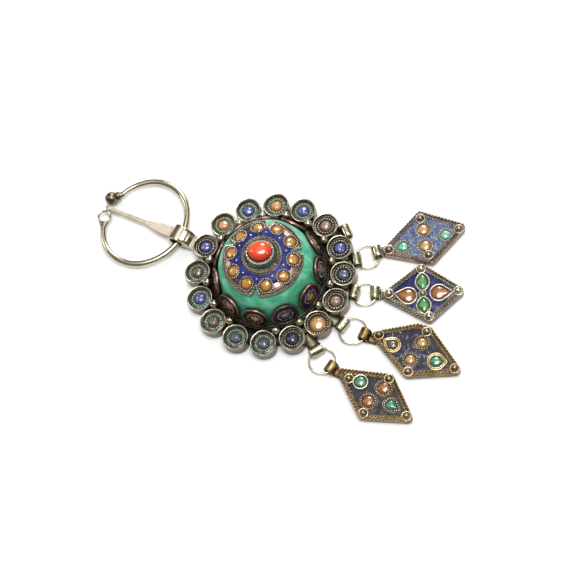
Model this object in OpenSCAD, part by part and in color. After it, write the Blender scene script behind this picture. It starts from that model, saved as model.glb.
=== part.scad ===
// Fibula brooch with an enamelled plaque, a penannular clasp ring and four lozenge pendants.
// Millimetres. It lies on its back. The origin is the middle of the plaque's back face,
// +X points from the clasp ring towards the pendants and +Z up through the coral.

/* [Plaque] */
// Distance from the middle of the plaque to the middle of each edge cup
cup_orbit_r = 26.8; // [26.6:0.1:27.2]
// Outer radius of an edge cup
cup_r = 4.75; // [4.6:0.05:4.85]
// Height of an edge cup above the table
cup_h = 5; // [4.5:0.1:5.5]
// Thickness of a cup's wall
cup_wall = 0.6; // [0.5:0.05:0.7]
// Thickness of the back plate
plate_t = 1.2; // [1:0.1:1.4]
// Radius of a solder granule between two cups
granule_r = 1.4; // [1.2:0.05:1.45]
// Distance from the middle of the plaque to each granule
granule_orbit_r = 22.8; // [22.6:0.1:23]

/* [Dome and cap] */
// Wall thickness of the green dome
dome_wall = 0.9; // [0.7:0.1:1.1]
// Thickness of the cap medallion
cap_t = 1; // [0.9:0.1:1.1]
// Outer radius of the cap medallion
cap_r = 14.6; // [14.4:0.1:14.8]
// Radius of one enamel dot on the cap
cap_dot_r = 2.1; // [1.8:0.1:2.2]
// Radius of the coral
coral_r = 4.35; // [4.1:0.05:4.4]
// Height of the coral above its seat
coral_h = 2.7; // [2.2:0.1:3]

/* [Skirt discs] */
// Radius of a leaning skirt disc
skirt_r = 5.1; // [4.8:0.1:5.1]
// Lean of a skirt disc from the horizontal, in degrees
skirt_lean = 77; // [76:1:78]

/* [Clasp] */
// Half width of the clasp ring's centreline, along X
ring_half_x = 15.4; // [15.2:0.1:15.6]
// Half width of the clasp ring's centreline, along Y
ring_half_y = 17.2; // [17:0.1:17.4]
// Radius of the clasp ring's wire at its two tight arcs
ring_wire_r = 1.25; // [1.2:0.05:1.3]
// Radius of the knob at the ring's end, which also sets the ring's height off the table
knob_r = 2.6; // [2.5:0.05:2.7]
// Bore radius of the chain eye at the ring's other end
eye_bore_r = 1.85; // [1.7:0.05:1.95]
// Outer radius of the barrel rolled from the pin's end
barrel_r = 3.3; // [3.25:0.05:3.35]
// Wall thickness of the barrel
barrel_wall = 0.7; // [0.6:0.05:0.75]
// Length of the barrel
barrel_len = 6.2; // [5.8:0.1:6.4]
// Width of the pin's flattened end
pin_flat_w = 5.4; // [5:0.1:5.8]
// Width of the pin's shank at its shoulder
pin_shank_w = 2.1; // [1.9:0.1:2.3]

/* [Links] */
// Outer radius of every rolled bail
bail_r = 2; // [1.95:0.05:2.1]
// Bore radius of every rolled bail
bail_bore_r = 1.5; // [1.45:0.05:1.55]
// Length of a bail on the plaque's edge
plaque_bail_len = 5; // [4.6:0.1:5]
// Length of a pendant's bail
pendant_bail_len = 4.4; // [4:0.1:4.6]
// Wire radius of a jump ring
jump_wire_r = 0.4; // [0.36:0.02:0.42]

/* [Pendants] */
// Height of a pendant's plate
pendant_h = 2.6; // [2.4:0.1:2.8]
// Height of a pendant's raised border above its plate
border_h = 0.5; // [0.4:0.05:0.6]
// Width of a pendant's raised border
border_w = 1.5; // [1.3:0.05:1.5]
// Corner radius of a pendant's plate
corner_r = 1.7; // [1.65:0.05:1.8]
// Radius of a pendant's corner granule
corner_granule_r = 1.15; // [1:0.05:1.2]

/* [Hidden] */
$fn = 64;
fuse = 0.3; // overlap that makes soldered parts one solid
eps = 1; // overshoot of a cut past a face
seam = 0.06; // gap between a setting and what it holds
step_in = 0.03; // how far a straight side lies inside the round corner that ends it

// Cups
cup_count = 16;
cup_step = 360 / cup_count;
cup_floor = 2.6;
stone_r = 2.3;
stone_h = 1.7;
big_stone = 10; // the one cup with a wide stone
big_stone_r = 3.2;
seat_wall = 0.5;
seat_h = 0.8;
missing_granule = 11; // gap whose granule has fallen off
granule_z = cup_h + 0.6;
granule_post_r = 0.8;

// Plaque bails: angle and distance of each bail's middle, and its turn from square to the edge.
// The last one is empty, and its turn lets a straight wire pass the neighbouring cup.
BAIL_A = 0;
BAIL_D = 1;
BAIL_TURN = 2;
plaque_bails = [
    [34.5, 31.5, 0],
    [11.25, 31.5, 0],
    [-11.25, 33.0, 0],
    [-33.75, 34.0, 0],
    [56.25, 31.7, -8],
];

// Dome outline as distance from the axis and height
dome_profile = [
    [19.4, 1.3],
    [18.9, 4.5],
    [18.1, 9],
    [17.2, 13],
    [16.3, 15.1],
    [14.6, 16.6],
    [11.5, 18],
    [7, 19.2],
    [0, 19.9],
];
cap_gap = 0.3;
cap_first = 5; // the cap follows the dome from this row of dome_profile
cap_last = len(dome_profile) - 1;
cap_top_z = dome_profile[cap_last][1] + cap_gap + cap_t;
cap_dots_n = 10;
cap_dot_phase = 17;
cap_dot_orbit = 11.2;
cap_dot_h = 0.9;
dot_tip_in = 4; // how much less than the cap's face a dot leans
dot_ring_w = 0.7; // width of the wire circle around a dot
notch_r = 1.4;
notch_orbit = 12.9;
notch_angles = [35, 107, 179, -73];
field_in = 7.3;
field_out = notch_orbit - notch_r - 0.1; // the field ends inside the notches
field_t = 0.35;

// Collet of the coral
collet_base_r = 6.3;
collet_top_r = 5.2;
collet_h = 3.9;
collet_sink = 0.6; // how far the collet's foot reaches into the cap
coral_seat_z = cap_top_z + 1.9;
coral_z = coral_seat_z + seam;

// Skirt
skirt_n = 11;
skirt_phase = 22.3;
skirt_orbit = 19.5; // distance from the axis to the middle of a disc's front
skirt_z = 8.5;
skirt_t = 1;
skirt_recess = 0.5;
skirt_rim = 0.7;
skirt_stone_r = 1.9;
skirt_stone_h = 1;
gallery_in = 20.3;
gallery_out = 21.5;
gallery_top = 4.1;

// Clasp ring
ring_z = knob_r;
ring_tilt = -9.7; // the oval's turn in the table's plane
ring_mid = [-53.5, -0.1];
tip_r = 14.2; // radius of the oval's two tight arcs
flank_r = (pow(ring_half_y - tip_r, 2) + pow(ring_half_x, 2) - pow(tip_r, 2)) / (2 * (ring_half_x - tip_r));
flank_off = flank_r - ring_half_x;
tip_off = ring_half_y - tip_r;
arc_turn = atan2(tip_off, flank_off); // where a flank arc meets a tight arc
flank_thin = 0.12; // how much thinner the wire is along the two flanks
flank_wire_r = ring_wire_r - flank_thin;
arc_lap = 1.2; // angle by which a flank's wire reaches into the thicker arc that it meets
ring_start = 214; // the wire's end beside the eye, around the left flank arc's middle
ring_stop = 167; // the wire's end beside the knob
knob_at = [-17.3, 0.8];
eye_at = [-14.85, -6.7];
eye_wall = 0.65;
eye_r = eye_bore_r + eye_wall;
eye_t = 1.4;
neck_r = 0.95;
collar_r = 1.75;
collar_len = 1.3;
collar_lap = 0.3; // how far the collar starts before the knob's surface
end_lap = 1; // how far the neck and the fishtail reach into the wire
tail_w = 3.4;
end_w = 1.8;

// Barrel and pin
barrel_at = [-38.45, 0.2, barrel_r];
barrel_bore_r = barrel_r - barrel_wall;
foot_w = 4.4;
foot_h = 3.4;
pin_z = 2.6;
pin_t = 1.9;
pin_turn = 1.3; // the pin's turn in the table's plane
pin_stations = [
    [-2.9, pin_flat_w],
    [-8, pin_flat_w * 0.9],
    [-14.6, pin_shank_w],
    [-30.6, 1.5],
    [-32.2, 0.5],
];

// Pendants: one row each, with the bail it hangs from, the jump ring's span and direction,
// and the pendant's own direction
SPAN = 0;
SPAN_A = 1;
LIE_A = 2;
lies = [
    [8.0, 45.5, 41.0],
    [7.5, 22.1, 24.6],
    [8.9, -1.5, 1.4],
    [8.4, -24.6, -8.1],
];
// Corner centres of each plate, x along the pendant from its bail's middle and y to its left
corners = [
    [[3.4, -0.9], [17.6, -8.8], [30.9, -0.1], [18.4, 8.8]],
    [[4.2, -2.0], [19.3, -9.7], [29.5, 0], [16.4, 8.6]],
    [[4.0, 0.9], [19.3, -7.1], [33.8, -0.1], [19.7, 9.3], [16.4, 9.0]],
    [[4.7, 0.5], [19.3, -8.0], [31.8, 0], [18.9, 7.5]],
];
// Stones of each pendant: x, y, radius, length of the pointed tail and the tail's direction
TAIL = 3;
TAIL_A = 4;
stones = [
    [[18.0, 3.0, 2.3, 0, 0], [17.0, -3.3, 2.3, 0, 0], [10.3, -1.5, 2.0, 3.2, 180], [25.0, -1.4, 2.0, 3.2, 0]],
    [[11.8, -1.6, 2.5, 4.6, 170], [22.6, -0.6, 2.5, 4.6, 2], [16.4, 3.0, 1.7, 3.6, 85], [16.6, -4.2, 1.7, 3.6, -95]],
    [[11.0, 0.1, 1.8, 3.2, 170], [19.8, 4.4, 2.0, 0, 0], [18.6, -2.7, 2.0, 0, 0], [27.1, 0, 2.1, 3.2, 20]],
    [[12.0, 0.9, 2.2, 0, 0], [20.2, 3.4, 2.3, 0, 0], [18.4, -3.5, 2.3, 0, 0], [25.6, -0.4, 1.9, 3.4, 0]],
];
pendant_stone_h = 0.9;
enamel_t = 0.35;
floor_sink = 0.3; // how far the enamel's floor lies below the plate's top
floor_z = pendant_h - floor_sink;
setting_w = 0.35; // width of the wire around a pendant's stone
neck_w = 3.4;
jump_play = 0.4; // how far a jump ring's wire sits off the middle of a bail's bore
jump_drop = 0.45; // how far a jump ring lies below a bail's axis
jump_z = bail_r - jump_drop;
bail_lap = 0.1; // how far a tongue or neck reaches past the inside of a bail's wall

function polar(a, d) = [d * cos(a), d * sin(a)];
// Slope of the cap's outer face, and that face's height at distance d from the axis
function cap_tilt() = atan2(dome_profile[6][1] - dome_profile[5][1], dome_profile[5][0] - dome_profile[6][0]);
function cap_face_z(d) = dome_profile[6][1] + (dome_profile[6][0] - d) * tan(cap_tilt()) + cap_gap + cap_t;
function unit(v) = v / norm(v);
function link_row(i) = lies[i];
function bail_xy(i) = polar(plaque_bails[i][BAIL_A], plaque_bails[i][BAIL_D]);
function pendant_xy(i) = bail_xy(i) + polar(link_row(i)[SPAN_A], link_row(i)[SPAN]);
// Half of the bend that the link takes between the two bails
function link_bend(i) = (link_row(i)[LIE_A] - plaque_bails[i][BAIL_A]) / 2;
function link_reach(i) = link_row(i)[SPAN] / (2 * cos(link_bend(i)));
function jump_xy(i) = bail_xy(i) + polar(link_row(i)[SPAN_A] - link_bend(i), link_reach(i));
function jump_r(i) = link_reach(i) + jump_play;
// Outward normal of the edge from corner k to the next, corners listed anticlockwise
function edge_n(c, k) = let (d = unit(c[(k + 1) % len(c)] - c[k])) [d[1], -d[0]];
// Points where the rounded corners of radius r start and end
function tangents(c, r) = [
    for (k = [0 : len(c) - 1])
        for (n = [edge_n(c, (k + len(c) - 1) % len(c)), edge_n(c, k)])
            c[k] + r * n
];

// A spherical dome of base radius r and height h standing on z = 0
module dome_stone(r, h) {
    ball_r = (r * r + h * h) / (2 * h);
    intersection() {
        translate([0, 0, h - ball_r]) sphere(r = ball_r);
        translate([0, 0, ball_r]) cube(2 * ball_r, center = true);
    }
}

// A rolled bail lying along Y with its middle over the origin, standing on z = 0
module bail_tube(length) {
    translate([0, 0, bail_r]) rotate([90, 0, 0]) difference() {
        cylinder(r = bail_r, h = length, center = true);
        cylinder(r = bail_bore_r, h = length + 2 * eps, center = true);
    }
}

// The tongue that carries a bail, from x_from to the bail's wall
module bail_tongue(x_from, width) {
    x_to = -bail_bore_r + bail_lap;
    translate([x_from, -width / 2, 0]) cube([x_to - x_from, width, plate_t]);
}

module edge_cup() {
    difference() {
        cylinder(r = cup_r, h = cup_h);
        translate([0, 0, cup_floor]) cylinder(r = cup_r - cup_wall, h = cup_h);
    }
}

module stone_seat(r) {
    translate([0, 0, cup_floor - fuse]) difference() {
        cylinder(r = r + seam + seat_wall, h = seat_h + fuse);
        translate([0, 0, -eps]) cylinder(r = r + seam, h = seat_h + fuse + 2 * eps);
    }
}

// Moves its children onto skirt disc k, z out of the disc's face
module on_skirt(k) {
    rotate([0, 0, skirt_phase + k * 360 / skirt_n])
        translate([skirt_orbit, 0, skirt_z])
        rotate([0, skirt_lean, 0])
        rotate([0, 0, 90])
        children();
}

module skirt_disc() {
    difference() {
        translate([0, 0, -skirt_t]) cylinder(r = skirt_r, h = skirt_t);
        translate([0, 0, -skirt_recess]) cylinder(r = skirt_r - skirt_rim, h = skirt_t);
    }
}

module gallery() {
    difference() {
        cylinder(r = gallery_out, h = gallery_top);
        translate([0, 0, -eps]) cylinder(r = gallery_in, h = gallery_top + 2 * eps);
    }
}

module plaque() {
    color("#b8b096") union() {
        cylinder(r = cup_orbit_r, h = plate_t);
        gallery();
        for (i = [0 : cup_count - 1]) rotate([0, 0, 180 - i * cup_step]) {
            translate([cup_orbit_r, 0, 0]) {
                edge_cup();
                stone_seat(i + 1 == big_stone ? big_stone_r : stone_r);
            }
            if (i != missing_granule) rotate([0, 0, -cup_step / 2]) translate([granule_orbit_r, 0, 0]) {
                cylinder(r = granule_post_r, h = granule_z);
                translate([0, 0, granule_z]) sphere(r = granule_r);
            }
        }
        for (k = [0 : skirt_n - 1]) on_skirt(k) skirt_disc();
        for (b = plaque_bails)
            rotate([0, 0, b[BAIL_A]]) translate([b[BAIL_D], 0, 0]) rotate([0, 0, b[BAIL_TURN]]) {
                bail_tube(plaque_bail_len);
                bail_tongue(cup_orbit_r - eps - b[BAIL_D], plaque_bail_len);
            }
    }
}

module green_dome() {
    inner = [for (p = dome_profile) [max(p[0] - dome_wall, 0), max(p[1] - dome_wall, dome_profile[0][1])]];
    color("#2f9e6c") rotate_extrude()
        polygon(concat(dome_profile, [for (k = [len(inner) - 1 : -1 : 0]) inner[k]]));
}

// The curved band from the dome's crown out to its cap rows, from lift to lift + t above it
module crown_shell(lift, t, r_in, r_out) {
    rows = [for (k = [cap_first : cap_last]) dome_profile[k]];
    band = concat(
        [for (p = rows) p + [0, lift]],
        [for (k = [len(rows) - 1 : -1 : 0]) rows[k] + [0, lift + t]]
    );
    rotate_extrude() intersection() {
        polygon(band);
        translate([r_in, 0]) square([r_out - r_in, cap_top_z + eps]);
    }
}

module notches(z_low) {
    for (a = notch_angles) rotate([0, 0, a]) {
        translate([notch_orbit, 0, z_low]) cylinder(r = notch_r, h = cap_top_z);
        translate([notch_orbit, -notch_r, z_low]) cube([cap_r, 2 * notch_r, cap_top_z]);
    }
}

// Moves its children onto enamel dot k of the cap, z square to the cap's face
module on_cap_dot(k) {
    rotate([0, 0, cap_dot_phase + k * 360 / cap_dots_n])
        translate([cap_dot_orbit, 0, cap_face_z(cap_dot_orbit)])
        rotate([0, cap_tilt() - dot_tip_in, 0])
        children();
}

module collet() {
    translate([0, 0, cap_top_z - collet_sink]) difference() {
        cylinder(r1 = collet_base_r, r2 = collet_top_r, h = collet_h);
        translate([0, 0, coral_seat_z - cap_top_z + collet_sink]) cylinder(r = coral_r + seam, h = collet_h);
    }
}

module cap() {
    color("#b9a48c") union() {
        difference() {
            crown_shell(cap_gap, cap_t, 0, cap_r);
            notches(0);
        }
        collet();
    }
}

module cap_enamel() {
    color("#26409a") difference() {
        crown_shell(cap_gap + cap_t + seam, field_t, field_in, field_out);
        for (k = [0 : cap_dots_n - 1]) on_cap_dot(k)
            cylinder(r = cap_dot_r + dot_ring_w, h = 6 * cap_t, center = true);
    }
}

module cap_dots() {
    color("#d08a20") for (k = [0 : cap_dots_n - 1]) on_cap_dot(k)
        translate([0, 0, 3 * seam]) dome_stone(cap_dot_r, cap_dot_h);
}

module coral() {
    color("#e84a20") translate([0, 0, coral_z]) dome_stone(coral_r, coral_h);
}

module skirt_enamel() {
    color("#26307a") for (k = [0 : skirt_n - 1]) on_skirt(k)
        translate([0, 0, seam - skirt_recess]) difference() {
            cylinder(r = skirt_r - skirt_rim - seam, h = skirt_recess - 2 * seam);
            translate([0, 0, -eps]) cylinder(r = skirt_stone_r + seam, h = skirt_recess + 2 * eps);
        }
}

module skirt_stones() {
    color("#c07818") for (k = [0 : skirt_n - 1]) on_skirt(k)
        translate([0, 0, seam - skirt_recess]) dome_stone(skirt_stone_r, skirt_stone_h);
}

module cup_stone(i) {
    r = i == big_stone ? big_stone_r : stone_r;
    tone = i % 2 == 1 ? "#3a4fa8" : "#c98a4a";
    color(tone) rotate([0, 0, 180 - (i - 1) * cup_step])
        translate([cup_orbit_r, 0, cup_floor + seam])
        dome_stone(r, stone_h);
}

// One arc of the oval around the point at
module ring_arc(at, r, wire_r, from, to) {
    translate(at) rotate([0, 0, from])
        rotate_extrude(angle = to - from) translate([r, 0]) circle(r = wire_r);
}

// The knob's neck and collar, from the wire's end to the knob
module knob_neck() {
    start = [flank_off, 0] + polar(ring_stop, flank_r);
    run = knob_at - start;
    translate([start[0], start[1], 0]) rotate([0, 90, atan2(run[1], run[0])]) {
        translate([0, 0, -end_lap]) cylinder(r = neck_r, h = norm(run) + end_lap);
        translate([0, 0, norm(run) - knob_r - collar_lap]) cylinder(r = collar_r, h = collar_len);
    }
    translate([knob_at[0], knob_at[1], 0]) sphere(r = knob_r);
}

// The flat chain eye and the fishtail that joins it to the wire's end
module chain_eye() {
    start = [flank_off, 0] + polar(ring_start, flank_r);
    run = start - eye_at;
    translate([eye_at[0], eye_at[1], 0]) difference() {
        union() {
            cylinder(r = eye_r, h = eye_t, center = true);
            rotate([0, 0, atan2(run[1], run[0])]) linear_extrude(eye_t, center = true) polygon([
                [eye_bore_r, -tail_w / 2],
                [norm(run) + end_lap, -end_w / 2],
                [norm(run) + end_lap, end_w / 2],
                [eye_bore_r, tail_w / 2],
            ]);
        }
        cylinder(r = eye_bore_r, h = eye_t + 2 * eps, center = true);
    }
}

module clasp_ring() {
    color("#b5ab8e") translate([ring_mid[0], ring_mid[1], ring_z]) rotate([0, 0, ring_tilt]) {
        ring_arc([0, tip_off], tip_r, ring_wire_r, arc_turn, 180 - arc_turn);
        ring_arc([0, -tip_off], tip_r, ring_wire_r, 180 + arc_turn, 360 - arc_turn);
        ring_arc([-flank_off, 0], flank_r, flank_wire_r, -arc_turn - arc_lap, arc_turn + arc_lap);
        ring_arc([flank_off, 0], flank_r, flank_wire_r, 180 - arc_turn - arc_lap, ring_stop);
        ring_arc([flank_off, 0], flank_r, flank_wire_r, ring_start, 180 + arc_turn + arc_lap);
        knob_neck();
        chain_eye();
    }
}

module pin() {
    low = pin_z - pin_t / 2;
    n = len(pin_stations);
    outline = concat(
        [for (s = pin_stations) [s[0], s[1] / 2]],
        [for (k = [n - 1 : -1 : 0]) [pin_stations[k][0], -pin_stations[k][1] / 2]]
    );
    color("#bdb196") translate([barrel_at[0], barrel_at[1], 0]) union() {
        rotate([0, 0, pin_turn]) intersection() {
            translate([0, 0, low]) linear_extrude(pin_t) polygon(outline);
            rotate([90, 0, 0]) linear_extrude(2 * pin_flat_w, center = true) polygon([
                [0, low],
                [-14, low],
                [-33, pin_z - 0.75],
                [-33, pin_z + 0.6],
                [-31, pin_z + 0.8],
                [0, pin_z + pin_t / 2],
            ]);
        }
        translate([0, 0, barrel_at[2]]) rotate([90, 0, 0]) difference() {
            cylinder(r = barrel_r, h = barrel_len, center = true);
            cylinder(r = barrel_bore_r, h = barrel_len + 2 * eps, center = true);
        }
        barrel_foot();
    }
}

// The solder block that holds the barrel against the plaque's edge cup
module barrel_foot() {
    reach = cup_orbit_r + cup_r;
    gap = -reach - barrel_at[0];
    x_from = barrel_bore_r + fuse;
    translate([x_from, -foot_w / 2, 0]) cube([gap - x_from - seam, foot_w, foot_h]);
}

module jump_ring(i) {
    at = jump_xy(i);
    color("#a9a08a") translate([at[0], at[1], jump_z])
        rotate_extrude() translate([jump_r(i), 0]) circle(r = jump_wire_r, $fn = 24);
}

// Moves its children into pendant i's own frame, x away from its bail
module on_pendant(i) {
    at = pendant_xy(i);
    translate([at[0], at[1], 0]) rotate([0, 0, link_row(i)[LIE_A]]) children();
}

module rounded_plate(c, r, h) {
    linear_extrude(h) polygon(tangents(c, r - step_in));
    for (p = c) translate(p) cylinder(r = r, h = h, $fn = 48);
}

// A plate's corners drawn inwards by d, so that a rounded outline of radius r - d fits inside
module inset_plate(c, d, h) {
    linear_extrude(h) polygon(tangents(c, corner_r - d));
}

module pendant(i) {
    c = corners[i];
    color("#a8926a") on_pendant(i) union() {
        difference() {
            rounded_plate(c, corner_r, pendant_h + border_h);
            translate([0, 0, floor_z]) inset_plate(c, border_w, pendant_h);
        }
        for (p = c) translate([p[0], p[1], pendant_h + border_h]) sphere(r = corner_granule_r);
        bail_tube(pendant_bail_len);
        translate([bail_bore_r - bail_lap, -neck_w / 2, 0])
            cube([norm(c[0]) - bail_bore_r + bail_lap, neck_w, plate_t]);
    }
}

// A pointed drop outline: a circle with a triangular tail
module drop_outline(s, grow, h) {
    r = s[2] + grow;
    translate([s[0], s[1], 0]) {
        cylinder(r = r, h = h);
        if (s[TAIL] > 0) rotate([0, 0, s[TAIL_A]]) linear_extrude(h) {
            tip = s[TAIL] + grow;
            side_r = r - step_in;
            touch = acos(side_r / tip);
            polygon([[0, 0], polar(-touch, side_r), [tip, 0], polar(touch, side_r)]);
        }
    }
}

module pendant_enamel(i) {
    c = corners[i];
    color("#2c3f8c") on_pendant(i) translate([0, 0, floor_z + seam]) difference() {
        inset_plate(c, border_w + seam, enamel_t);
        for (s = stones[i]) translate([0, 0, -eps]) drop_outline(s, setting_w, enamel_t + 2 * eps);
        for (p = c) translate([p[0], p[1], -eps])
            cylinder(r = corner_granule_r + seam, h = enamel_t + 2 * eps);
    }
}

module pendant_stones(i) {
    color("#c8823c") on_pendant(i) translate([0, 0, floor_z + seam])
        for (s = stones[i]) drop_outline(s, 0, pendant_stone_h);
}

plaque();
green_dome();
cap();
cap_enamel();
cap_dots();
coral();
skirt_enamel();
skirt_stones();
pin();
clasp_ring();
for (i = [1 : cup_count]) cup_stone(i);
for (i = [1 : 4]) jump_ring(i - 1);
for (i = [1 : 4]) pendant(i - 1);
for (i = [1 : 4]) pendant_enamel(i - 1);
for (i = [1 : 4]) pendant_stones(i - 1);
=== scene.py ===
import math

import bmesh
import bpy
import numpy as np
from mathutils import Matrix, Vector, noise


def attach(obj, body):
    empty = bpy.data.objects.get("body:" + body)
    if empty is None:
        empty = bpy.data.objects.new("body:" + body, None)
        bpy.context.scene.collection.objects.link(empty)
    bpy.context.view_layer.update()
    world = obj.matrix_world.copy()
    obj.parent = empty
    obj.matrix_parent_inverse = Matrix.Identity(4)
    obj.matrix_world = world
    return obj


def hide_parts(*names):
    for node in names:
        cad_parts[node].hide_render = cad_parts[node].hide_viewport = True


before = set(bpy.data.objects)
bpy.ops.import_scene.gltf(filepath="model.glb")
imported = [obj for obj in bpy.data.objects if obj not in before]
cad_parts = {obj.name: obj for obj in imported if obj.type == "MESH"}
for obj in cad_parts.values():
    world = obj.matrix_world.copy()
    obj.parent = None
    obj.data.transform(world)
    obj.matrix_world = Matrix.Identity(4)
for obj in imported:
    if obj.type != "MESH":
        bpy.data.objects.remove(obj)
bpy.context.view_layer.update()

# Sizes are in millimetres until a shape becomes an object
MM = 0.001
TAU = 2 * math.pi
SHARP_EDGE = 50
PLAQUE, RING = "plaque", "ring"

# Edge cups
CUPS = 16
CUP_STEP = 360 / CUPS
CUP_ORBIT = 26.8
CUP_R = 4.75
CUP_H = 5.0
CUP_WALL = 0.45
CUP_FLOOR = 2.6
STONE_R = 2.3
STONE_H = 1.7
BIG_CUP = 10
BIG_STONE_R = 3.2
PLATE_T = 1.2
GRANULE_R = 1.55
GRANULE_ORBIT = 22.8
GRANULE_Z = 5.6
MISSING_GRANULE = 11

# Dome as rows of radius and height, cap and coral
DOME_ROWS = [(19.4, 1.3), (18.9, 4.5), (18.1, 9), (17.2, 13), (16.3, 15.1), (14.6, 16.6), (11.5, 18)]
DOME_ROWS += [(7, 19.2), (0, 19.9)]
DOME_WALL = 0.9
CAP_GAP = 0.3
CAP_T = 1.0
CAP_R = 14.6
CAP_TOP = DOME_ROWS[-1][1] + CAP_GAP + CAP_T
NOTCHES = [35, 107, 179, -73]
NOTCH_DEPTH = 3.0
DOTS = 10
DOT_PHASE = 17
DOT_ORBIT = 11.2
DOT_R = 2.1
DOT_TIP_IN = 4
FIELD_IN = 7.3
FIELD_OUT = 11.4
COLLET_BASE_R = 6.3
COLLET_TOP_R = 4.95
COLLET_TOP = 24.35
COLLET_WALL = 0.32
TEETH = 22
CORAL_R = 4.35
CORAL_Z = CAP_TOP + 1.96
CORAL_H = 2.7
CORAL_TURN = 27
CORAL_OFF = (-0.2, 0.4)

# Skirt discs
SKIRT = 11
SKIRT_PHASE = 22.3
SKIRT_ORBIT = 19.5
SKIRT_Z = 8.5
SKIRT_LEAN = 77
SKIRT_R = 5.1
SKIRT_T = 1.0
DARK_DISCS = (6, 7, 8)
GALLERY_IN = 20.3
GALLERY_OUT = 21.5
GALLERY_TOP = 4.1

# Clasp ring, barrel and pin
RING_MID = (-53.5, -0.1)
RING_TILT = -9.7
RING_HALF_X = 15.4
RING_HALF_Y = 17.2
TIP_R = 14.2
RING_Z = 2.6
# The ring's wire from the knob to the eye, as share of its length and radius
RING_WIRE = [(0, 0.9), (0.04, 1.0), (0.2, 1.25), (0.32, 1.22), (0.55, 1.1), (0.72, 1.25), (0.9, 1.12), (1.0, 1.05)]
KNOB_AT = (-17.3, 0.8)
EYE_AT = (-14.85, -6.7)
EYE_BORE = 1.85
EYE_R = 2.7
BARREL_AT = (-38.45, 0.2, 3.3)
BARREL_R = 3.3
BARREL_BORE = 2.6
BARREL_LEN = 6.2
PIN_Z = 2.6
PIN_T = 1.9
PIN_TURN = 1.3
# The pin as distance from the barrel and width
PIN_ROWS = [(-2.9, 4.5), (-5.2, 4.4), (-8, 4.1), (-11.2, 3.1), (-14.6, 2.05), (-22, 1.9), (-30.6, 1.6)]
PIN_ROWS += [(-31.7, 1.3), (-32.1, 0.7)]

# Links: plaque bails as angle, distance and turn, the last one empty
BAILS = [(34.5, 31.5, 0), (11.25, 31.5, 0), (-11.25, 33.0, 0), (-33.75, 34.0, 0), (56.25, 31.7, -8)]
BAIL_R = 2.0
BAIL_BORE = 1.5
PLAQUE_BAIL_LEN = 5.0
PENDANT_BAIL_LEN = 4.4
JUMP_WIRE = 0.4
JUMP_PLAY = 0.4
JUMP_Z = 1.55

# Pendants: span and direction of the jump ring and the pendant's own direction
LIES = [(8.0, 45.5, 41.0), (7.5, 22.1, 24.6), (8.9, -1.5, 1.4), (8.4, -24.6, -8.1)]
CORNERS = [
    [(3.4, -0.9), (17.6, -8.8), (30.9, -0.1), (18.4, 8.8)],
    [(4.2, -1.0), (19.3, -9.7), (29.6, 0.1), (16.4, 8.7)],
    [(4.2, 1.2), (19.8, -7.1), (34.7, 0.3), (20.4, 9.5), (16.4, 9.1)],
    [(4.7, 0.3), (19.1, -8.4), (32.8, -0.8), (19.8, 7.4)],
]
# A granule near each corner
GRANULES = [
    [(4.2, -0.8), (17.2, -7.1), (30.2, -0.7), (18.2, 7.6)],
    [(5.0, -0.6), (19.3, -9.5), (29.5, 0), (16.2, 8.6)],
    [(5.0, 1.6), (20.0, -6.9), (34.4, 0.4), (20.0, 9.1)],
    [(7.9, -0.2), (19.2, -7.9), (32.4, -0.8), (19.8, 7.1)],
]
CORNER_R = 1.7
PENDANT_H = 2.6
PENDANT_FLOOR = 2.3
CORNER_GRANULE_R = 1.45
GRANULE_TOP_Z = 3.0


def polar(angle, distance):
    return np.array([distance * math.cos(math.radians(angle)), distance * math.sin(math.radians(angle))])


def bearing(v):
    return math.degrees(math.atan2(v[1], v[0]))


def place(at=(0, 0, 0), turn=0.0, lean=0.0, spin=0.0):
    """A matrix that spins about Z, leans about Y, turns about Z and then moves to at."""
    return (
        Matrix.Translation(Vector(at))
        @ Matrix.Rotation(math.radians(turn), 4, "Z")
        @ Matrix.Rotation(math.radians(lean), 4, "Y")
        @ Matrix.Rotation(math.radians(spin), 4, "Z")
    )


def moved(points, matrix):
    m = np.array(matrix)
    return np.asarray(points, float) @ m[:3, :3].T + m[:3, 3]


# Outlines and paths

def circle(r, sides):
    t = np.arange(sides) * TAU / sides
    return np.stack([r * np.cos(t), r * np.sin(t)], 1)


def with_z(outline, z=0.0):
    outline = np.asarray(outline, float)
    return np.column_stack([outline[:, 0], outline[:, 1], np.full(len(outline), z)])


def hoop(r, sides, z):
    return with_z(circle(r, sides), z)


def spline(points, per_span):
    """A smooth curve through the points."""
    p = np.asarray(points, float)
    n = len(p)
    out = []
    for k in range(n - 1):
        a, b, c, d = p[max(k - 1, 0)], p[k], p[k + 1], p[min(k + 2, n - 1)]
        for s in np.arange(per_span) / per_span:
            out.append(
                0.5 * (2 * b + (c - a) * s + (2 * a - 5 * b + 4 * c - d) * s**2 + (3 * b - a - 3 * c + d) * s**3)
            )
    out.append(p[-1])
    return np.array(out)


def resample(path, count, closed):
    """The path again in count even steps."""
    path = np.asarray(path, float)
    full = np.vstack([path, path[:1]]) if closed else path
    run = np.concatenate([[0], np.cumsum(np.linalg.norm(np.diff(full, axis=0), axis=1))])
    at = np.linspace(0, run[-1], count + 1)[:-1] if closed else np.linspace(0, run[-1], count)
    return np.stack([np.interp(at, run, full[:, k]) for k in range(full.shape[1])], 1)


def length_round(path):
    """Length of a closed path."""
    return float(np.linalg.norm(np.diff(np.vstack([path, path[:1]]), axis=0), axis=1).sum())


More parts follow.
